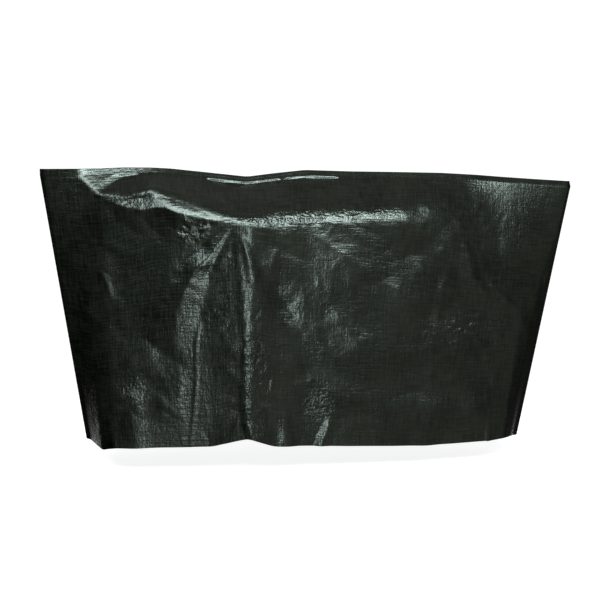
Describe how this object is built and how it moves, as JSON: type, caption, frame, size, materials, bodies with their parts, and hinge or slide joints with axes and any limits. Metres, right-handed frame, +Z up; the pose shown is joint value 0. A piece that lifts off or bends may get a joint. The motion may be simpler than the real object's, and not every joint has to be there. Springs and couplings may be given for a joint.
{
  "type": "bicycle cover",
  "caption": "Fitted rain cover for one bicycle, two welded panels of glossy dark woven film, open at the bottom, shaped as it hangs over a bicycle.",
  "frame": {"origin": "where the bicycle holds the cover up, under the middle of the welded top strip", "axes": "+X along the cover's length, from the bicycle's front to its rear; -Y towards the side shown in front; +Z up"},
  "size_m": [2.0944, 0.4924, 1.0995],
  "materials": {
    "film": "dark green woven polyethylene film with a gloss, finely crinkled"
  },
  "bodies": {
    "root": {"front_panel": "film", "back_panel": "film"}
  },
  "joints": []
}
